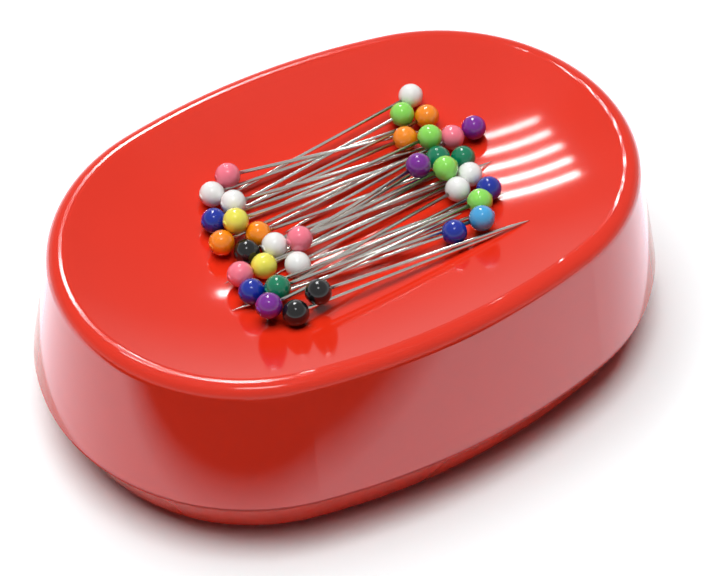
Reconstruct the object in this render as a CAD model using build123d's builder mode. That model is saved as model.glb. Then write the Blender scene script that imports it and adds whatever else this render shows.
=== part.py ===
from build123d import *
import math
import os

os.makedirs("parts", exist_ok=True)

# Oval magnetic pin bowl with loose ball-headed pins, in millimetres.
# X runs along the bowl, Z is up, and the origin is on the table below the bowl's middle.

# The bowl as a whole
bowl_length = 110.0
bowl_width = 78.2
bowl_height = 33.2
side_bulge = 2.1  # how far each long side bows out past the round ends, at the widest edge
parting_height = 10.6  # the widest edge, where the upper shell meets the base
foot_proud = 0.6  # how far the feet hold the base off the table
overrun = 1.0  # how far a cutting solid runs past the face that it opens
edge_break = 0.35  # bevel of both edges at the parting line

# Upper shell
shell_wall = 2.0
wall_lean = 12.7  # degrees that the outer wall leans in towards the rim
rim_radius = 2.2  # outer rounding of the rim
rim_land = 0.3  # width of the rim's flat crest
underside_flat = 11.0  # plan radius of the underside's flat middle at both ends
underside_lean = 73.5  # degrees from upright at which the underside then slopes up
lip_round = 1.2  # inner rounding where the crest turns down into the dish
dish_depth = 6.2

# Magnets, the steel plate under them, and the pocket that holds them
magnet_length = 16.0
magnet_width = 30.0
magnet_height = 10.0
magnet_gap = 6.0
magnet_corner = 0.8
keeper_thickness = 2.0
keeper_corner = 1.5
pocket_wall = 1.6
pocket_play = 0.15

# Base cover
base_lean = 22.4  # degrees that the base tapers in towards the table
base_wall = 1.8
base_floor = 2.0
base_break = 1.0  # bevel of the edge next to the table
tongue_wall = 1.2
tongue_height = 2.2  # how far the tongue stands up inside the shell
tongue_root = 4.0  # how far it reaches down into the base's wall
tongue_play = 0.15
stand_length = 30.0  # the hollow upstand that presses on the keeper plate
stand_width = 20.0
stand_wall = 1.6

# Screws and the bosses that they draw together
screw_reach_x = 41.0  # from the middle to the two end bosses
screw_reach_y = 27.5  # from the middle to the two side bosses
boss_radius = 3.5
boss_foot_height = 12.0  # where a shell boss stands on its tube in the base
tube_radius = 4.2
screw_seat_height = 4.6
screw_head_radius = 2.8
screw_head_height = 2.0
screw_head_break = 0.5
screw_radius = 1.4
screw_length = 16.0
screw_point = 1.2
screw_play = 0.1
clearance_hole_play = 0.4
slot_width = 0.9
slot_length = 3.6
slot_depth = 1.0

# Rubber feet
foot_radius = 4.5
foot_thickness = 1.6
foot_play = 0.1
foot_break = 0.4
foot_reach_x = 31.0
foot_reach_y = 17.0

# Pins
head_radius = 2.1
shank_radius = 0.3
shank_reach = 38.2  # from the middle of the head to the point
point_length = 3.5
socket_depth = 0.9  # how far the shank goes past the middle of the head
rest_gap = 0.08  # between a lying pin and the dish

# Sizes that follow
half_length = bowl_length / 2
half_width = bowl_width / 2
end_radius = half_width - side_bulge
side_radius = (half_length**2 + half_width**2 - 2 * half_length * end_radius) / (
    2 * (half_width - end_radius)
)
end_centre = half_length - end_radius
side_centre = side_radius - half_width
side_half_angle = math.degrees(math.atan2(end_centre, side_centre))
wall_height = bowl_height - parting_height
base_height = parting_height - foot_proud
rim_inset = wall_height * math.tan(math.radians(wall_lean))
crest_inset = rim_inset + rim_radius + rim_land
dish_bottom = bowl_height - dish_depth
dish_rise = end_radius - crest_inset  # plan width over which the dish climbs to its crest
dish_radius = (dish_rise**2 + dish_depth**2) / (2 * dish_depth)
magnet_top = dish_bottom - shell_wall
magnet_bottom = magnet_top - magnet_height
keeper_bottom = magnet_bottom - keeper_thickness
magnet_centre = (magnet_gap + magnet_length) / 2
keeper_length = magnet_gap + 2 * magnet_length
screw_places = [
    (screw_reach_x, 0),
    (0, screw_reach_y),
    (-screw_reach_x, 0),
    (0, -screw_reach_y),
]

# Where the pins lie: the head's place from the middle of the bowl as shares of the pin's reach,
# the turn of the pin in degrees from straight along the bowl, and how far the point is held off
# the dish, as a share of the head's radius
pin_place_shares = {
    "black": (-0.502, -0.427, -0.6, 0.05),
    "white": (-0.347, -0.165, -3.7, 0.05),
    "yellow": (-0.469, -0.098, 1.9, 0.05),
    "blue": (0.293, -0.361, 172.1, 0.05),
    "lime": (0.483, 0.363, 184.6, 0.05),
    "pink": (0.608, 0.145, 181.2, 0.05),
}


def draw_oval(inset, mode=Mode.ADD):
    """Draws the bowl's plan in the open sketch: four tangent arcs, moved inward by inset."""
    end_arc = end_radius - inset
    corner_x = end_centre + end_arc * math.sin(math.radians(side_half_angle))
    corner_y = end_arc * math.cos(math.radians(side_half_angle))
    tip_x = half_length - inset
    side_y = half_width - inset
    with BuildLine() as outline:
        ThreePointArc((corner_x, -corner_y), (tip_x, 0), (corner_x, corner_y))
        ThreePointArc((corner_x, corner_y), (0, side_y), (-corner_x, corner_y))
        ThreePointArc((-corner_x, corner_y), (-tip_x, 0), (-corner_x, -corner_y))
        ThreePointArc((-corner_x, -corner_y), (0, -side_y), (corner_x, -corner_y))
    make_face(outline.edges(), mode=mode)


def dish_block():
    """Returns the solid that fills the dish and stands over the rim, to cut the dish with.

    The dish has one cross-section all round: a flat floor, then an arc up to the crest. Each of
    the four arcs of the plan turns that section about its own centre, so both ends are parts of
    a ball's surface.
    """
    low = dish_bottom
    ceiling = bowl_height + dish_depth
    climb = dish_depth + overrun
    run = math.sqrt(dish_radius**2 - (dish_radius - climb) ** 2)
    half_run = dish_radius * math.sin(math.asin(run / dish_radius) / 2)
    half_climb = dish_radius - math.sqrt(dish_radius**2 - half_run**2)
    side_floor = side_radius - crest_inset - dish_rise
    sectors = [
        (end_centre, 0, 0, 0, 90 - side_half_angle),
        (0, -side_centre, side_floor, side_centre, side_half_angle),
    ]
    with BuildPart() as block:
        for centre_x, centre_y, floor_reach, inner_reach, half_angle in sectors:
            middle = 90 if centre_y else 0
            start = math.radians(middle - half_angle)
            plane = Plane(
                origin=(centre_x, centre_y, 0),
                x_dir=(math.cos(start), math.sin(start), 0),
                z_dir=(math.sin(start), -math.cos(start), 0),
            )
            with BuildSketch(plane):
                with BuildLine():
                    Line((inner_reach, ceiling), (inner_reach, low))
                    if floor_reach > inner_reach:
                        Line((inner_reach, low), (floor_reach, low))
                    ThreePointArc(
                        (floor_reach, low),
                        (floor_reach + half_run, low + half_climb),
                        (floor_reach + run, low + climb),
                    )
                    Line((floor_reach + run, low + climb), (floor_reach + run, ceiling))
                    Line((floor_reach + run, ceiling), (inner_reach, ceiling))
                make_face()
            revolve(
                axis=Axis((centre_x, centre_y, 0), (0, 0, 1)),
                revolution_arc=2 * half_angle,
            )
        mirror(about=Plane.YZ)
        mirror(about=Plane.XZ)
    return block.part


def dish_climb(x, y):
    """Returns the height of the dish's surface and its slope (rise over run) at a place."""
    x, y = abs(x), abs(y)
    if math.degrees(math.atan2(x, y + side_centre)) < side_half_angle:
        run = math.hypot(x, y + side_centre) - (side_radius - crest_inset - dish_rise)
    else:
        run = math.hypot(x - end_centre, y)
    run = max(run, 0)
    level = math.sqrt(dish_radius**2 - run**2)
    return dish_bottom + dish_radius - level, run / level


def pin_plane(place_shares):
    """Returns the plane that holds a lying pin: origin in the head, X towards the point."""
    share_x, share_y, turn, rise_share = place_shares
    head_x = share_x * shank_reach
    head_y = share_y * shank_reach
    tip_x = head_x + shank_reach * math.cos(math.radians(turn))
    tip_y = head_y + shank_reach * math.sin(math.radians(turn))
    floor, slope = dish_climb(head_x, head_y)
    head_z = floor + (head_radius + rest_gap) * math.hypot(1, slope)
    tip_z = dish_climb(tip_x, tip_y)[0] + rest_gap + rise_share * head_radius
    along = Vector(tip_x - head_x, tip_y - head_y, tip_z - head_z).normalized()
    return Plane(origin=(head_x, head_y, head_z), x_dir=along, z_dir=along.cross(Vector(0, 0, 1)))


# Solid above the underside of the dish: flat over the magnets, then a straight slope that keeps
# the full wall under the curved dish
with BuildPart() as above_underside:
    with BuildSketch(Plane.XY.offset(magnet_top)):
        draw_oval(end_radius - underside_flat)
    extrude(amount=wall_height, taper=-underside_lean)

# Hollow of the upper shell: the wall's inner face, closed above by the underside of the dish and
# standing round the four screw bosses
with BuildPart() as shell_hollow:
    with BuildSketch(Plane.XY.offset(parting_height)):
        draw_oval(shell_wall)
    extrude(amount=wall_height - shell_wall, taper=wall_lean)
    add(above_underside.part, mode=Mode.SUBTRACT)
    with BuildSketch(Plane.XY.offset(boss_foot_height)):
        with Locations(*screw_places):
            Circle(boss_radius)
    extrude(amount=wall_height, mode=Mode.SUBTRACT)

# Upper shell: leaning outer wall, rolled rim, dish, magnet pocket and four screw bosses
with BuildPart() as upper_shell:
    with BuildSketch(Plane.XY.offset(parting_height)):
        draw_oval(0)
    extrude(amount=wall_height, taper=wall_lean)
    fillet(upper_shell.faces().sort_by(Axis.Z)[-1].edges(), rim_radius)
    add(dish_block(), mode=Mode.SUBTRACT)
    crest = upper_shell.faces().filter_by(Axis.Z).sort_by(Axis.Z)[-1]
    fillet(crest.inner_wires()[0].edges(), lip_round)
    chamfer(upper_shell.faces().sort_by(Axis.Z)[0].edges(), edge_break)
    add(shell_hollow.part, mode=Mode.SUBTRACT)
    with BuildSketch(Plane.XY.offset(keeper_bottom)):
        Rectangle(
            keeper_length + 2 * (pocket_play + pocket_wall),
            magnet_width + 2 * (pocket_play + pocket_wall),
        )
    extrude(amount=magnet_top + shell_wall / 2 - keeper_bottom)
    with BuildSketch(Plane.XY.offset(keeper_bottom)):
        Rectangle(keeper_length + 2 * pocket_play, magnet_width + 2 * pocket_play)
    extrude(amount=keeper_thickness, mode=Mode.SUBTRACT)
    with BuildSketch(Plane.XY.offset(magnet_bottom)):
        with Locations((-magnet_centre, 0), (magnet_centre, 0)):
            Rectangle(magnet_length + 2 * pocket_play, magnet_width + 2 * pocket_play)
    extrude(amount=magnet_height, mode=Mode.SUBTRACT)
    with BuildSketch(Plane.XY.offset(boss_foot_height)):
        with Locations(*screw_places):
            Circle(screw_radius + screw_play)
    extrude(
        amount=screw_seat_height + screw_length + overrun - boss_foot_height,
        mode=Mode.SUBTRACT,
    )
upper_shell.part.label = "upper_shell"
export_step(upper_shell.part, "parts/upper_shell.step")

# Base cover: tapered tray with a tongue that centres the shell, screw tubes and an upstand
with BuildPart() as base_cover:
    under_parting = Plane(origin=(0, 0, parting_height), z_dir=(0, 0, -1))
    with BuildSketch(under_parting):
        draw_oval(0)
    extrude(amount=base_height, taper=base_lean)
    chamfer(base_cover.faces().sort_by(Axis.Z)[0].edges(), base_break)
    chamfer(base_cover.faces().sort_by(Axis.Z)[-1].edges(), edge_break)
    with BuildSketch(under_parting):
        draw_oval(base_wall)
    extrude(amount=base_height - base_floor, taper=base_lean, mode=Mode.SUBTRACT)
    tongue_inset = shell_wall + tongue_height * math.tan(math.radians(wall_lean)) + tongue_play
    with BuildSketch(Plane.XY.offset(parting_height - tongue_root)):
        draw_oval(tongue_inset)
        draw_oval(tongue_inset + tongue_wall, mode=Mode.SUBTRACT)
    extrude(amount=tongue_root + tongue_height)
    with BuildSketch(Plane.XY.offset(foot_proud)):
        with Locations(*screw_places):
            Circle(tube_radius)
    extrude(amount=boss_foot_height - foot_proud)
    with BuildSketch(Plane.XY.offset(foot_proud)):
        with Locations(*screw_places):
            Circle(screw_head_radius + clearance_hole_play)
    extrude(amount=screw_seat_height - foot_proud, mode=Mode.SUBTRACT)
    with BuildSketch(Plane.XY.offset(screw_seat_height)):
        with Locations(*screw_places):
            Circle(screw_radius + clearance_hole_play)
    extrude(amount=boss_foot_height - screw_seat_height, mode=Mode.SUBTRACT)
    with BuildSketch(Plane.XY.offset(foot_proud + base_floor)):
        Rectangle(stand_length, stand_width)
        Rectangle(
            stand_length - 2 * stand_wall,
            stand_width - 2 * stand_wall,
            mode=Mode.SUBTRACT,
        )
    extrude(amount=keeper_bottom - foot_proud - base_floor)
    with BuildSketch(Plane.XY.offset(foot_proud)):
        with GridLocations(2 * foot_reach_x, 2 * foot_reach_y, 2, 2):
            Circle(foot_radius + foot_play)
    extrude(amount=foot_thickness - foot_proud, mode=Mode.SUBTRACT)
base_cover.part.label = "base_cover"
export_step(base_cover.part, "parts/base_cover.step")

# Two ferrite magnets side by side under the dish's floor
for side, name in ((-1, "magnet_left"), (1, "magnet_right")):
    with BuildPart() as magnet:
        with BuildSketch(Plane.XY.offset(magnet_bottom)):
            with Locations((side * magnet_centre, 0)):
                RectangleRounded(magnet_length, magnet_width, magnet_corner)
        extrude(amount=magnet_height)
    magnet.part.label = name
    export_step(magnet.part, f"parts/{name}.step")

# Steel plate that joins the magnets' lower poles
with BuildPart() as keeper_plate:
    with BuildSketch(Plane.XY.offset(keeper_bottom)):
        RectangleRounded(keeper_length, magnet_width, keeper_corner)
    extrude(amount=keeper_thickness)
keeper_plate.part.label = "keeper_plate"
export_step(keeper_plate.part, "parts/keeper_plate.step")

# Four self-tapping screws, driven up from below
with BuildPart() as base_screws:
    for place in screw_places:
        screw_axis = Axis((*place, 0), (0, 0, 1))
        screw_top = screw_seat_height + screw_length
        screw_foot = screw_seat_height - screw_head_height
        with BuildSketch(Plane(origin=(*place, 0), x_dir=(1, 0, 0), z_dir=(0, -1, 0))):
            with BuildLine():
                Polyline(
                    (0, screw_top),
                    (screw_radius / 2, screw_top),
                    (screw_radius, screw_top - screw_point),
                    (screw_radius, screw_seat_height),
                    (screw_head_radius, screw_seat_height),
                    (screw_head_radius, screw_foot + screw_head_break),
                    (screw_head_radius - screw_head_break, screw_foot),
                    (0, screw_foot),
                    close=True,
                )
            make_face()
        revolve(axis=screw_axis)
    with BuildSketch(Plane.XY.offset(screw_seat_height - screw_head_height)):
        with Locations(*screw_places):
            Rectangle(slot_length, slot_width)
            Rectangle(slot_width, slot_length)
    extrude(amount=slot_depth, mode=Mode.SUBTRACT)
base_screws.part.label = "base_screws"
export_step(base_screws.part, "parts/base_screws.step")

# Four rubber feet in shallow seats under the base
foot_places = {
    "foot_front_left": (-foot_reach_x, -foot_reach_y),
    "foot_front_right": (foot_reach_x, -foot_reach_y),
    "foot_back_left": (-foot_reach_x, foot_reach_y),
    "foot_back_right": (foot_reach_x, foot_reach_y),
}
for name, place in foot_places.items():
    with BuildPart() as foot:
        with BuildSketch(Plane.XY):
            with Locations(place):
                Circle(foot_radius)
        extrude(amount=foot_thickness)
        chamfer(foot.edges().sort_by(Axis.Z)[0], foot_break)
    foot.part.label = name
    export_step(foot.part, f"parts/{name}.step")

# Ball-headed pins lying on the dish: a pointed steel shank and a moulded head round its end
for colour, place_shares in pin_place_shares.items():
    plane = pin_plane(place_shares)
    pin_axis = Axis(plane.origin, plane.x_dir)
    with BuildPart() as shank:
        with BuildSketch(plane):
            with BuildLine():
                Polyline(
                    (-socket_depth, 0),
                    (-socket_depth, shank_radius),
                    (shank_reach - point_length, shank_radius),
                    (shank_reach, 0),
                    close=True,
                )
            make_face()
        revolve(axis=pin_axis)
    shank.part.label = f"pin_{colour}_shank"
    export_step(shank.part, f"parts/pin_{colour}_shank.step")

    with BuildPart() as head:
        mouth = math.sqrt(head_radius**2 - shank_radius**2)
        with BuildSketch(plane):
            with BuildLine():
                ThreePointArc((-head_radius, 0), (0, head_radius), (mouth, shank_radius))
                Polyline(
                    (mouth, shank_radius),
                    (-socket_depth, shank_radius),
                    (-socket_depth, 0),
                    (-head_radius, 0),
                )
            make_face()
        revolve(axis=pin_axis)
    head.part.label = f"pin_{colour}_head"
    export_step(head.part, f"parts/pin_{colour}_head.step")
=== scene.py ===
"""An oval magnetic pin bowl with a heap of ball-headed pins, over the CAD model."""

import logging
import math
from dataclasses import dataclass, field
from enum import Enum

import bmesh
import bpy
from mathutils import Matrix, Quaternion, Vector


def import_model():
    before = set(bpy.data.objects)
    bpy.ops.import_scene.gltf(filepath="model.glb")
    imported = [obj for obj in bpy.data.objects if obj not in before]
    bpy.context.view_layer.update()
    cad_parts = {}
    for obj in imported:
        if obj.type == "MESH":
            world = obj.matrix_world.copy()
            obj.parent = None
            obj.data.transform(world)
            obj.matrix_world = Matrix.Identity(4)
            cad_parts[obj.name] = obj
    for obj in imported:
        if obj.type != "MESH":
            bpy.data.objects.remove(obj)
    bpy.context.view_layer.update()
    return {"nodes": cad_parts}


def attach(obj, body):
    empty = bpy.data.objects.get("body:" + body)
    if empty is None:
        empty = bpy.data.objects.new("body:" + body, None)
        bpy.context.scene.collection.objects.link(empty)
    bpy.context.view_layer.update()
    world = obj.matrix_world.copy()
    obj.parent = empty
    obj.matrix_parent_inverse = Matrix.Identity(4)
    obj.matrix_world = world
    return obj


log = logging.getLogger("pin_bowl")

MM = 0.001
PLASTIC_IOR = 1.5
Pair = tuple[float, float]
Triple = tuple[float, float, float]
Colour = Triple


class Signal:
    """One shader value; adding or multiplying it adds Math nodes."""

    def __init__(self, bench: "ShaderBench", socket: bpy.types.NodeSocket) -> None:
        """Wraps an output socket.

        Args:
            bench: the shader that the socket belongs to.
            socket: the output that carries the value.
        """
        self.bench = bench
        self.socket = socket

    def _math(self, operation: str, *values: "Signal | float") -> "Signal":
        """Adds one Math node.

        Args:
            operation: the node's operation, such as "ADD".
            values: its inputs in order.

        Returns:
            The node's result.
        """
        inputs = dict(enumerate(values))
        return self.bench.node("ShaderNodeMath", {"operation": operation}, inputs)[0]

    def __add__(self, other: "Signal | float") -> "Signal":
        """Adds."""
        return self._math("ADD", self, other)

    def __mul__(self, other: "Signal | float") -> "Signal":
        """Multiplies."""
        return self._math("MULTIPLY", self, other)

    __radd__ = __add__
    __rmul__ = __mul__

    def above(self, level: float, softness: float) -> "Signal":
        """Returns a mask that rises from 0 to 1 over softness, centred on level."""
        return self._math(
            "MULTIPLY_ADD", self, 1 / softness, 0.5 - level / softness
        ).clamped()

    def clamped(self) -> "Signal":
        """Keeps the value between 0 and 1."""
        return self.bench.node("ShaderNodeClamp", {}, {"Value": self})[0]


class ShaderBench:
    """A material's node tree, with one method that adds any node to it."""

    # Which output of a Texture Coordinate node is the object's own space.
    OBJECT_SPACE = 3

    def __init__(self, name: str) -> None:
        """Starts an empty material.

        Args:
            name: the material's name.
        """
        self.material = bpy.data.materials.new(name)
        self.material.use_nodes = True
        self.tree = self.material.node_tree
        self.tree.nodes.clear()
        self._objects: Signal | None = None

    def node(
        self,
        kind: str,
        settings: dict[str, object] | None = None,
        inputs: dict[str | int, object] | None = None,
    ) -> list[Signal]:
        """Adds a node.

        Args:
            kind: the node's type.
            settings: properties that are set first; "stops" fills a ramp.
            inputs: values or signals by socket name or number.

        Returns:
            The node's outputs in order.
        """
        made = self.tree.nodes.new(kind)
        for key, value in (settings or {}).items():
            if key == "stops":
                ramp = made.color_ramp
                while len(ramp.elements) < len(value):
                    ramp.elements.new(0.5)
                for element, (place, colour) in zip(ramp.elements, value):
                    element.position = place
                    element.color = (*colour, 1)
            else:
                setattr(made, key, value)
        for key, value in (inputs or {}).items():
            if isinstance(value, Signal):
                self.tree.links.new(value.socket, made.inputs[key])
            elif isinstance(value, tuple) and len(value) == 3:
                socket = made.inputs[key]
                socket.default_value = (*value, 1) if socket.type == "RGBA" else value
            else:
                made.inputs[key].default_value = value
        return [Signal(self, output) for output in made.outputs]

    def place(self) -> Signal:
        """Returns the point on the object, in the object's own metres."""
        if self._objects is None:
            self._objects = self.node("ShaderNodeTexCoord")[self.OBJECT_SPACE]
        return self._objects

    def noise(
        self, scale: float, detail: float = 2.0, stretch: Triple = (1, 1, 1)
    ) -> Signal:
        """Returns a cloudy value from 0 to 1.

        Args:
            scale: how many clouds fit in a metre.
            detail: how many finer layers it has.
            stretch: how much denser it is along each axis.

        Returns:
            The cloudy value.
        """
        inputs = {"Vector": self.place(), "Scale": stretch}
        spot = self.node("ShaderNodeMapping", {}, inputs)[0]
        return self.node(
            "ShaderNodeTexNoise", {}, {"Vector": spot, "Scale": scale, "Detail": detail}
        )[0]

    def blend(self, mask: Signal, low: Colour, high: Colour) -> Signal:
        """Mixes two colours.

        Args:
            mask: 0 gives the first colour and 1 the second.
            low: the first colour.
            high: the second colour.

        Returns:
            The mixed colour.
        """
        ramp = {"stops": [(0.0, low), (1.0, high)]}
        return self.node("ShaderNodeValToRGB", ramp, {"Fac": mask})[0]

    def tones(self, mask: Signal, colour: Colour, factors: Pair) -> Signal:
        """Varies one colour's brightness.

        Args:
            mask: 0 gives the first tone and 1 the second.
            colour: the colour.
            factors: how bright each tone is beside the colour itself.

        Returns:
            The varied colour.
        """
        low, high = factors
        return self.blend(mask, shade(colour, low), shade(colour, high))

    def bump(self, height: Signal, depth: float) -> Signal:
        """Returns a normal from a height, in which 1 stands depth metres proud."""
        inputs = {"Height": height, "Strength": 1.0, "Distance": depth}
        return self.node("ShaderNodeBump", {}, inputs)[0]

    def close(self, inputs: dict[str, object]) -> bpy.types.Material:
        """Adds the surface and the output.

        Args:
            inputs: the surface's sockets by name.

        Returns:
            The finished material.
        """
        surface = self.node("ShaderNodeBsdfPrincipled", {}, inputs)[0]
        self.node("ShaderNodeOutputMaterial", {}, {"Surface": surface})
        return self.material


def shade(colour: Colour, factor: float) -> Colour:
    """Returns the colour, lightened or darkened by a factor."""
    return tuple(min(channel * factor, 1.0) for channel in colour)


@dataclass(frozen=True)
class GlossMoulding:
    """A polished injection moulding: even colour under a gloss, faint flow and dust."""

    name: str
    colour: Colour
    roughness: float = 0.07
    coat: float = 0.05
    coat_roughness: float = 0.03
    flow_scale: float = 45.0
    flow_detail: float = 3.0
    flow_stretch: Triple = (1.0, 1.0, 0.5)
    flow_tones: Pair = (0.93, 1.05)
    flow_haze: float = 0.03
    flow_depth: float = 0.004 * MM
    speck_scale: float = 2600.0
    speck_detail: float = 1.0
    speck_level: float = 0.72
    speck_softness: float = 0.05
    speck_haze: float = 0.10

    def material(self) -> bpy.types.Material:
        """Builds the finish."""
        bench = ShaderBench(self.name)
        flow = bench.noise(self.flow_scale, self.flow_detail, self.flow_stretch)
        dust = bench.noise(self.speck_scale, self.speck_detail)
        specks = dust.above(self.speck_level, self.speck_softness)
        hazy = self.roughness + self.flow_haze * flow
        return bench.close(
            {
                "Base Color": bench.tones(flow, self.colour, self.flow_tones),
                "Roughness": hazy + self.speck_haze * specks,
                "IOR": PLASTIC_IOR,
                "Coat Weight": self.coat,
                "Coat Roughness": self.coat_roughness,
                "Normal": bench.bump(flow, self.flow_depth),
            }
        )


@dataclass(frozen=True)
class BeadMoulding:
    """A pin's moulded head: a bright, slightly clouded colour under a gloss."""

    name: str
    colour: Colour
    roughness: float = 0.10
    coat: float = 0.5
    coat_roughness: float = 0.04
    cloud_scale: float = 420.0
    cloud_tones: Pair = (0.9, 1.06)
    cloud_haze: float = 0.06
    cloud_depth: float = 0.02 * MM

    def material(self) -> bpy.types.Material:
        """Builds the finish."""
        bench = ShaderBench(self.name)
        cloud = bench.noise(self.cloud_scale)
        return bench.close(
            {
                "Base Color": bench.tones(cloud, self.colour, self.cloud_tones),
                "Roughness": self.roughness + self.cloud_haze * cloud,
                "IOR": PLASTIC_IOR,
                "Coat Weight": self.coat,
                "Coat Roughness": self.coat_roughness,
                "Normal": bench.bump(cloud, self.cloud_depth),
            }
        )


@dataclass(frozen=True)
class DrawnMetal:
    """Drawn, rolled or plated metal with fine marks along its length."""

    name: str
    colour: Colour
    roughness: float
    mark_scale: float
    mark_stretch: Triple
    mark_depth: float
    mark_detail: float = 4.0
    mark_haze: float = 0.12
    cloud_scale: float = 180.0
    cloud_tones: Pair = (0.82, 1.1)
    cloud_haze: float = 0.06

    def material(self) -> bpy.types.Material:
        """Builds the finish."""
        bench = ShaderBench(self.name)
        marks = bench.noise(self.mark_scale, self.mark_detail, self.mark_stretch)
        cloud = bench.noise(self.cloud_scale)
        marked = self.roughness + self.mark_haze * marks
        return bench.close(
            {
                "Base Color": bench.tones(cloud, self.colour, self.cloud_tones),
                "Metallic": 1.0,
                "Roughness": marked + self.cloud_haze * cloud,
                "Normal": bench.bump(marks, self.mark_depth),
            }
        )


@dataclass(frozen=True)
class MattSolid:
    """A matt solid such as rubber or ground ferrite, mottled and slightly pitted."""

    name: str
    colour: Colour
    roughness: float
    grain_scale: float
    grain_depth: float
    grain_detail: float = 5.0
    grain_haze: float = 0.15
    mottle_share: float = 0.08
    mottle_tones: Pair = (0.75, 1.25)

    def material(self) -> bpy.types.Material:
        """Builds the finish."""
        bench = ShaderBench(self.name)
        grain = bench.noise(self.grain_scale, self.grain_detail)
        mottle = bench.noise(self.grain_scale * self.mottle_share)
        return bench.close(
            {
                "Base Color": bench.tones(mottle, self.colour, self.mottle_tones),
                "Roughness": self.roughness + self.grain_haze * grain,
                "Normal": bench.bump(grain, self.grain_depth),
            }
        )


class HeadColour(Enum):
    """The colours that the pins' heads come in, as linear red, green and blue."""

    WHITE = (0.86, 0.86, 0.84)
    PINK = (0.92, 0.19, 0.27)
    LIME = (0.26, 0.74, 0.10)
    GREEN = (0.0, 0.19, 0.09)
    YELLOW = (0.86, 0.80, 0.09)
    ORANGE = (0.95, 0.26, 0.004)
    BLUE = (0.003, 0.022, 0.33)
    SKY = (0.06, 0.37, 0.72)
    PURPLE = (0.19, 0.014, 0.30)
    BLACK = (0.006, 0.006, 0.007)


def put(
    name: str, form: bmesh.types.BMesh, material: bpy.types.Material
) -> bpy.types.Object:
    """Turns a bmesh into a smooth-shaded object at the origin.

    Args:
        name: the piece's name.
        form: the mesh in metres; it is freed.
        material: its finish.

    Returns:
        The new object.
    """
    mesh = bpy.data.meshes.new(name)
    form.to_mesh(mesh)
    form.free()
    mesh.materials.append(material)
    for face in mesh.polygons:
        face.use_smooth = True
    piece = bpy.data.objects.new(name, mesh)
    bpy.context.scene.collection.objects.link(piece)
    return piece


def refinish(node: bpy.types.Object, material: bpy.types.Material) -> None:
    """Gives a CAD node this finish and no other."""
    node.data.materials.clear()
    node.data.materials.append(material)


@dataclass(frozen=True)
class PinLie:
    """How one pin lies, in millimetres and degrees in the bowl's frame.

    The head's centre is at x, y and z, the pin is turned by turn from the bowl's
    length, and its point is at the height tip_z.
    """

    colour: HeadColour
    x: float
    y: float
    z: float
    turn: float
    tip_z: float


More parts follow.
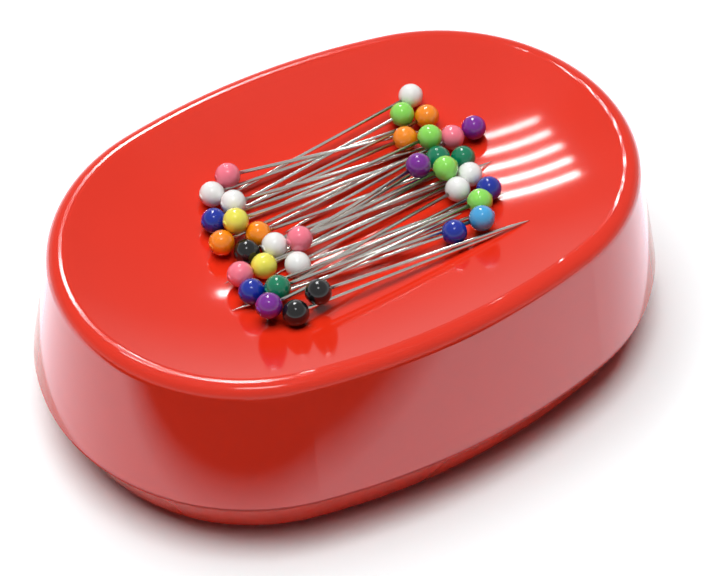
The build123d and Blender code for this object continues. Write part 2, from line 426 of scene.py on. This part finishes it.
@dataclass
class Pin:
    """A ball-headed pin: a plated shank with a fine point and a moulded ball head.

    A row of taper holds a share of the point's length, and how wide the shank is at
    its end. seam_zone and pole_zone are shares of the head's radius, within which a
    vertex belongs to the mould seam or to a pole. neck_width and gate_width are in
    shank radii.
    """

    steel: bpy.types.Material
    bead: bpy.types.Material
    head_radius: float = 2.1 * MM
    shank_radius: float = 0.3 * MM
    reach: float = 38.2 * MM
    point_length: float = 3.5 * MM
    socket_depth: float = 0.9 * MM
    seam_height: float = 0.012 * MM
    neck_depth: float = 0.3 * MM
    neck_width: float = 1.25
    gate_depth: float = 0.09 * MM
    gate_width: float = 1.9
    seam_zone: float = 0.02
    pole_zone: float = 0.01
    shank_sides: int = 16
    head_sides: int = 40
    head_rings: int = 24
    taper: tuple[Pair, ...] = ((0.45, 0.68), (0.35, 0.34), (0.2, 0.06))

    def _frame(self, lie: PinLie) -> Matrix:
        """Returns the matrix that takes a pin drawn along +Z to its lie."""
        turn = math.radians(lie.turn)
        head = Vector((lie.x, lie.y, lie.z)) * MM
        tip_place = head + Vector((math.cos(turn), math.sin(turn), 0)) * self.reach
        tip = Vector((tip_place.x, tip_place.y, lie.tip_z * MM))
        aim = (tip - head).to_track_quat("Z", "Y")
        return Matrix.Translation(head) @ aim.to_matrix().to_4x4()

    def shank(self, name: str, lie: PinLie) -> bpy.types.Object:
        """Builds the wire with its ground point.

        Args:
            name: the piece's name.
            lie: where the pin lies.

        Returns:
            The shank.
        """
        form = bmesh.new()
        straight = self.reach - self.point_length + self.socket_depth
        bmesh.ops.create_cone(
            form,
            cap_ends=True,
            segments=self.shank_sides,
            radius1=self.shank_radius,
            radius2=self.shank_radius,
            depth=straight,
            matrix=Matrix.Translation((0, 0, straight / 2 - self.socket_depth)),
        )
        end = max(form.faces, key=lambda face: face.calc_center_median().z)
        for share, width in self.taper:
            grown = bmesh.ops.extrude_discrete_faces(form, faces=[end])["faces"][0]
            span = Vector((0, 0, self.point_length * share))
            bmesh.ops.translate(form, verts=grown.verts, vec=span)
            now = max(v.co.xy.length for v in grown.verts)
            factor = self.shank_radius * width / now
            bmesh.ops.scale(form, verts=grown.verts, vec=(factor, factor, 1))
            end = grown
        form.transform(self._frame(lie))
        return put(name, form, self.steel)

    def head(self, name: str, lie: PinLie) -> bpy.types.Object:
        """Builds the ball, with its mould seam and a sunk place at each pole.

        Args:
            name: the piece's name.
            lie: where the pin lies.

        Returns:
            The head.
        """
        form = bmesh.new()
        bmesh.ops.create_uvsphere(
            form,
            u_segments=self.head_sides,
            v_segments=self.head_rings,
            radius=self.head_radius,
        )
        seam_reach = self.head_radius * self.seam_zone
        seam = [v for v in form.verts if abs(v.co.z) < seam_reach]
        proud = 1 + self.seam_height / self.head_radius
        bmesh.ops.scale(form, verts=seam, vec=(proud, proud, 1))
        pole_reach = self.head_radius * self.pole_zone
        poles = [v for v in form.verts if v.co.xy.length < pole_reach]
        for pole in poles:
            ring = [edge.other_vert(pole) for edge in pole.link_edges]
            self._sink(form, pole, ring, pole.co.z > 0)
        form.transform(self._frame(lie))
        return put(name, form, self.bead)

    def _sink(
        self,
        form: bmesh.types.BMesh,
        pole: bmesh.types.BMVert,
        ring: list[bmesh.types.BMVert],
        neck: bool,
    ) -> None:
        """Sinks one pole: the neck round the shank, or the moulding gate's dimple.

        Args:
            form: the head's mesh.
            pole: the vertex at the pole.
            ring: the vertices round it.
            neck: whether the shank goes in here.
        """
        width = self.shank_radius * (self.neck_width if neck else self.gate_width)
        factor = width / ring[0].co.xy.length
        bmesh.ops.scale(form, verts=ring, vec=(factor, factor, 1))
        depth = self.neck_depth if neck else self.gate_depth
        down = Vector((0, 0, -depth if pole.co.z > 0 else depth))
        bmesh.ops.translate(form, verts=[pole], vec=down)


@dataclass
class StudioLight:
    """Plain soft studio light, in metres and watts.

    A white surround, a broad key overhead that no gloss shows, and two lights that only
    the gloss shows: a small glint and a lamp behind whose louvres draw streaks.
    """

    surround: float = 0.45
    surround_colour: Colour = (1.0, 0.99, 0.985)
    key_place: Triple = (-0.08, 0.14, 1.2)
    key_size: float = 1.0
    key_power: float = 20.5
    glint_place: Triple = (-0.10, -0.15, 1.2)
    glint_size: float = 0.22
    glint_power: float = 1.2
    lamp_distance: float = 1.2
    louvre_azimuths: tuple[float, ...] = (69.0, 71.0, 73.0, 74.5, 76.0)
    louvre_heights: tuple[float, ...] = (0.94, 1.12, 1.33, 1.59, 1.91)
    louvre_size: Pair = (0.42, 0.05)
    louvre_power: float = 2.2

    def build(self) -> None:
        """Adds the surround, the key light, the glint and the lamp's louvres."""
        world = bpy.data.worlds.new("white_surround")
        world.use_nodes = True
        backdrop = world.node_tree.nodes["Background"]
        backdrop.inputs["Color"].default_value = (*self.surround_colour, 1)
        backdrop.inputs["Strength"].default_value = self.surround
        world.cycles_visibility.diffuse = False
        bpy.context.scene.world = world
        bpy.context.scene.view_settings.view_transform = "Standard"
        square = (self.key_size, self.key_size)
        key = self._area("key_light", Vector(self.key_place), square, self.key_power)
        key.visible_glossy = False
        spot = (self.glint_size, self.glint_size)
        glint = self._area(
            "glint_light", Vector(self.glint_place), spot, self.glint_power
        )
        glint.visible_diffuse = False
        rows = zip(self.louvre_azimuths, self.louvre_heights)
        for number, (azimuth, height) in enumerate(rows, 1):
            turn = math.radians(azimuth)
            place = Vector((math.cos(turn), math.sin(turn), 0)) * self.lamp_distance
            place.z = height
            louvre = self._area(
                f"lamp_louvre_{number}", place, self.louvre_size, self.louvre_power
            )
            louvre.visible_diffuse = False

    def _area(
        self, name: str, place: Vector, size: Pair, power: float
    ) -> bpy.types.Object:
        """Adds one rectangular light that faces the bowl.

        Args:
            name: the light's name.
            place: where it hangs.
            size: its width and height.
            power: its power in watts.

        Returns:
            The light.
        """
        data = bpy.data.lights.new(name, "AREA")
        data.shape = "RECTANGLE"
        data.size, data.size_y = size
        data.energy = power
        lamp = bpy.data.objects.new(name, data)
        lamp.location = place
        lamp.rotation_mode = "QUATERNION"
        lamp.rotation_quaternion = (-place).to_track_quat("-Z", "Y")
        bpy.context.scene.collection.objects.link(lamp)
        return lamp


@dataclass
class PaintedReflectionCards:
    """What only the gloss shows, in metres.

    Painted reflections: a glowing card round the bowl paints the lit table's
    reflection, with a dark painted reflection past an edge towards the front, and a
    glowing band paints a pale horizon.
    """

    # Numbers of a Mix node's sockets for colours, whose names are shared.
    MIX_FACTOR, MIX_FIRST, MIX_SECOND, MIX_RESULT = 0, 6, 7, 2

    card_height: float = 0.3 * MM
    card_sides: int = 96
    inner: Pair = (0.067, 0.052)
    outer: float = 0.6
    edge_distance: float = 0.071
    edge_softness: float = 0.016
    edge_direction: Pair = (-0.568, -0.823)
    # Painted reflections on the card: the lit table's glow, and the dark patch past the
    # edge towards the front.
    bright: Colour = (2.1, 2.07, 2.25)
    dark: Colour = (0.06, 0.06, 0.06)
    band_sides: int = 64
    band_radius: float = 2.6
    band_height: float = 1.3
    # Painted reflection of a pale horizon: the band's glow at its foot and at its top.
    band_low: float = 1.1
    band_high: float = 0.45

    def build(self) -> None:
        """Adds the painted reflections: the card on the table and the band round the
        horizon.
        """
        self._card()
        self._band()

    def _card(self) -> None:
        """Adds the card that lies on the table round the bowl and paints the lit
        table's reflection, dark past the edge towards the front.
        """
        bench = ShaderBench("painted_table_reflection")
        along, across, _ = bench.node(
            "ShaderNodeSeparateXYZ", {}, {"Vector": bench.place()}
        )
        reach = self.edge_direction[0] * along + self.edge_direction[1] * across
        edge = reach.above(self.edge_distance, self.edge_softness)
        form = bmesh.new()
        rim = bmesh.ops.create_circle(form, segments=self.card_sides, radius=1.0)
        bmesh.ops.scale(form, verts=rim["verts"], vec=(*self.inner, 1))
        bmesh.ops.create_circle(form, segments=self.card_sides, radius=self.outer)
        bmesh.ops.bridge_loops(form, edges=form.edges)
        bmesh.ops.translate(form, verts=form.verts, vec=(0, 0, self.card_height))
        # Painted reflection: the lit table's glow, turning to the dark painted
        # reflection past the edge.
        glow = bench.node(
            "ShaderNodeMix",
            {"data_type": "RGBA"},
            {
                self.MIX_FACTOR: edge,
                self.MIX_FIRST: (*self.bright, 1.0),
                self.MIX_SECOND: (*self.dark, 1.0),
            },
        )[self.MIX_RESULT]
        self._show("painted_table_reflection", form, glow)

    def _band(self) -> None:
        """Adds the band round the horizon, a painted reflection of a pale horizon that
        fades upwards into the surround.
        """
        form = bmesh.new()
        bmesh.ops.create_circle(form, segments=self.band_sides, radius=self.band_radius)
        wall = bmesh.ops.extrude_edge_only(form, edges=form.edges)["geom"]
        top = [part for part in wall if isinstance(part, bmesh.types.BMVert)]
        bmesh.ops.translate(form, verts=top, vec=(0, 0, self.band_height))
        low, high = (self.band_low,) * 3, (self.band_high,) * 3
        bench = ShaderBench("painted_horizon_reflection")
        place = {"Vector": bench.place()}
        _, _, height = bench.node("ShaderNodeSeparateXYZ", {}, place)
        # Painted reflection: the band glows brighter at its foot than at its top.
        glow = bench.blend(height * (1 / self.band_height), low, high)
        self._show("painted_horizon_reflection", form, glow)

    def _show(self, name: str, form: bmesh.types.BMesh, glow: Signal) -> None:
        """Makes a glowing piece that shows only in gloss, as a painted reflection.

        Args:
            name: the piece's name.
            form: its mesh.
            glow: the colour that it sends out.
        """
        paint = glow.bench.close(
            {
                "Base Color": (0.0, 0.0, 0.0),
                "Specular IOR Level": 0.0,
                "Roughness": 1.0,
                "Emission Color": glow,
                "Emission Strength": 1.0,
            }
        )
        card = put(name, form, paint)
        card.visible_camera = False
        card.visible_diffuse = False
        card.visible_shadow = False
        card.visible_transmission = False


@dataclass
class Table:
    """The plain white table top that the bowl stands on."""

    half_size: float = 3.0
    cool: Colour = (0.90, 0.96, 0.97)
    pale: Colour = (0.93, 0.98, 0.99)
    cloud_scale: float = 2.0
    cloud_haze: float = 0.05
    roughness: float = 0.55
    specular: float = 0.2

    def build(self) -> None:
        """Adds the floor."""
        bench = ShaderBench("white_table")
        cloud = bench.noise(self.cloud_scale)
        paint = bench.close(
            {
                "Base Color": bench.blend(cloud, self.cool, self.pale),
                "Roughness": self.roughness + self.cloud_haze * cloud,
                "Specular IOR Level": self.specular,
            }
        )
        form = bmesh.new()
        bmesh.ops.create_grid(form, x_segments=2, y_segments=2, size=self.half_size)
        floor = put("table_top", form, paint)


@dataclass
class Camera:
    """The photograph's viewpoint: it looks at target, in degrees and metres.

    The azimuth is counted from straight in front. The lens and the sensor are in
    millimetres.
    """

    azimuth: float = -30.49
    elevation: float = 47.95
    roll: float = -0.30
    distance: float = 305.1 * MM
    target: Triple = (-1.14 * MM, -4.26 * MM, 15.0 * MM)
    lens: float = 92.4
    sensor_width: float = 36.0
    near: float = 0.01
    far: float = 20.0

    def build(self) -> None:
        """Adds the camera and makes it the scene's own."""
        turn, lift = math.radians(self.azimuth), math.radians(self.elevation)
        back = Vector(
            (
                math.sin(turn) * math.cos(lift),
                -math.cos(turn) * math.cos(lift),
                math.sin(lift),
            )
        )
        data = bpy.data.cameras.new("camera")
        data.lens = self.lens
        data.sensor_width = self.sensor_width
        data.clip_start = self.near
        data.clip_end = self.far
        camera = bpy.data.objects.new("camera", data)
        camera.location = Vector(self.target) + back * self.distance
        camera.rotation_mode = "QUATERNION"
        camera.rotation_quaternion = (-back).to_track_quat("-Z", "Y") @ Quaternion(
            (0, 0, 1), math.radians(self.roll)
        )
        bpy.context.scene.collection.objects.link(camera)
        bpy.context.scene.camera = camera


@dataclass
class PinHeap:
    """The loose pins that ride in the dish, and the finishes of the CAD's pins."""

    body: str = "bowl"
    lies: tuple[PinLie, ...] = (
        PinLie(HeadColour.PINK, -14.19, 15.18, 31.37, -7.5, 28.03),
        PinLie(HeadColour.WHITE, -17.99, 13.54, 30.44, -1.2, 28.25),
        PinLie(HeadColour.WHITE, -16.06, 9.77, 30.77, -4.0, 27.55),
        PinLie(HeadColour.BLUE, -20.25, 8.67, 29.72, -1.1, 27.51),
        PinLie(HeadColour.YELLOW, -17.88, 5.52, 31.28, 0.9, 27.37),
        PinLie(HeadColour.ORANGE, -21.37, 3.90, 29.51, 4.8, 27.40),
        PinLie(HeadColour.ORANGE, -15.32, 2.89, 29.18, -1.9, 27.28),
        PinLie(HeadColour.BLACK, -18.75, 0.40, 29.15, 0.9, 27.12),
        PinLie(HeadColour.WHITE, -14.58, -1.22, 29.90, -0.8, 27.33),
        PinLie(HeadColour.PINK, -11.08, -3.19, 31.26, 3.1, 27.66),
        PinLie(HeadColour.PINK, -22.19, -3.86, 29.80, 2.8, 27.11),
        PinLie(HeadColour.BLUE, -22.51, -8.22, 30.12, -1.2, 29.18),
        PinLie(HeadColour.GREEN, -19.15, -10.56, 31.23, 0.1, 27.84),
        PinLie(HeadColour.PURPLE, -22.29, -13.54, 31.82, 5.9, 28.84),
        PinLie(HeadColour.BLACK, -14.46, -15.07, 31.95, -2.9, 29.33),
        PinLie(HeadColour.WHITE, 21.75, 16.42, 31.18, -175.4, 28.62),
        PinLie(HeadColour.ORANGE, 21.94, 11.49, 30.20, -178.3, 27.75),
        PinLie(HeadColour.ORANGE, 16.23, 9.28, 29.69, 178.4, 27.95),
        PinLie(HeadColour.LIME, 19.30, 6.44, 30.91, 177.7, 27.52),
        PinLie(HeadColour.PURPLE, 27.39, 5.32, 29.97, -176.1, 27.10),
        PinLie(HeadColour.PURPLE, 13.45, 0.70, 31.95, -175.3, 27.41),
        PinLie(HeadColour.GREEN, 18.43, 2.44, 29.67, -173.2, 27.14),
        PinLie(HeadColour.LIME, 17.40, -1.42, 31.09, 177.7, 27.13),
        PinLie(HeadColour.GREEN, 22.25, 0.65, 29.28, -175.2, 27.12),
        PinLie(HeadColour.WHITE, 20.96, -3.38, 29.50, -178.1, 27.23),
        PinLie(HeadColour.WHITE, 17.25, -5.43, 29.73, -173.9, 28.97),
        PinLie(HeadColour.BLUE, 21.70, -7.93, 29.69, -179.0, 27.55),
        PinLie(HeadColour.LIME, 18.33, -10.32, 30.61, 177.6, 27.64),
        PinLie(HeadColour.SKY, 16.04, -14.32, 31.44, 169.9, 27.97),
    )
    steel: bpy.types.Material = field(init=False)
    beads: dict[HeadColour, bpy.types.Material] = field(init=False)

    def __post_init__(self) -> None:
        """Builds the heap's finishes."""
        self.steel = DrawnMetal(
            name="nickel_wire",
            colour=(0.78, 0.76, 0.71),
            roughness=0.15,
            mark_scale=7000.0,
            mark_stretch=(1, 1, 1),
            mark_depth=0.0002 * MM,
        ).material()
        self.beads = {
            tint: BeadMoulding(f"bead_{tint.name.lower()}", tint.value).material()
            for tint in HeadColour
        }

    def dress(self, nodes: dict[str, bpy.types.Object]) -> None:
        """Gives the CAD's pins their finishes.

        Args:
            nodes: the CAD nodes by name.
        """
        for name, node in nodes.items():
            if not name.startswith("pin_"):
                continue
            _, colour, part = name.split("_")
            bead = self.beads[HeadColour[colour.upper()]]
            refinish(node, self.steel if part == "shank" else bead)

    def build(self, nodes: dict[str, bpy.types.Object]) -> None:
        """Builds every loose pin.

        Args:
            nodes: the CAD nodes by name; not used.
        """
        for number, lie in enumerate(self.lies, 1):
            pin = Pin(self.steel, self.beads[lie.colour])
            label = f"loose_pin_{number:02d}_{lie.colour.name.lower()}"
            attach(pin.shank(f"{label}_shank", lie), self.body)
            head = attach(pin.head(f"{label}_head", lie), self.body)
            log.info("%s", label)


@dataclass
class Bowl:
    """The red bowl: its moulded shells and the parts inside and under it."""

    red: Colour = (0.72, 0.026, 0.008)

    def dress(self, nodes: dict[str, bpy.types.Object]) -> None:
        """Gives the CAD's bowl pieces their finishes.

        Args:
            nodes: the CAD nodes by name.
        """
        shell = GlossMoulding("polished_red", self.red).material()
        ferrite = MattSolid(
            name="ground_ferrite",
            colour=(0.03, 0.03, 0.033),
            roughness=0.55,
            grain_scale=900.0,
            grain_depth=0.02 * MM,
        ).material()
        sheet = DrawnMetal(
            name="rolled_sheet",
            colour=(0.5, 0.5, 0.5),
            roughness=0.32,
            mark_scale=500.0,
            mark_stretch=(1, 12, 1),
            mark_depth=0.004 * MM,
        ).material()
        zinc = DrawnMetal(
            name="zinc_screw",
            colour=(0.6, 0.6, 0.62),
            roughness=0.28,
            mark_scale=1500.0,
            mark_stretch=(1, 1, 1),
            mark_depth=0.004 * MM,
        ).material()
        rubber = MattSolid(
            name="foot_rubber",
            colour=(0.02, 0.02, 0.02),
            roughness=0.7,
            grain_scale=1400.0,
            grain_depth=0.03 * MM,
        ).material()
        finishes = {
            "upper_shell": shell,
            "base_cover": shell,
            "magnet_left": ferrite,
            "magnet_right": ferrite,
            "keeper_plate": sheet,
            "base_screws": zinc,
        }
        for name, node in nodes.items():
            finish = rubber if name.startswith("foot_") else finishes.get(name)
            if finish is not None:
                refinish(node, finish)
                log.info("%s dressed", name)


def main() -> None:
    """Builds the scene."""
    logging.basicConfig(level=logging.INFO, format="%(message)s")
    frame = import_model()
    Camera().build()
    StudioLight().build()
    PaintedReflectionCards().build()
    Table().build()
    Bowl().dress(frame["nodes"])
    heap = PinHeap()
    heap.dress(frame["nodes"])
    heap.build(frame["nodes"])


if __name__ == "__main__":
    main()
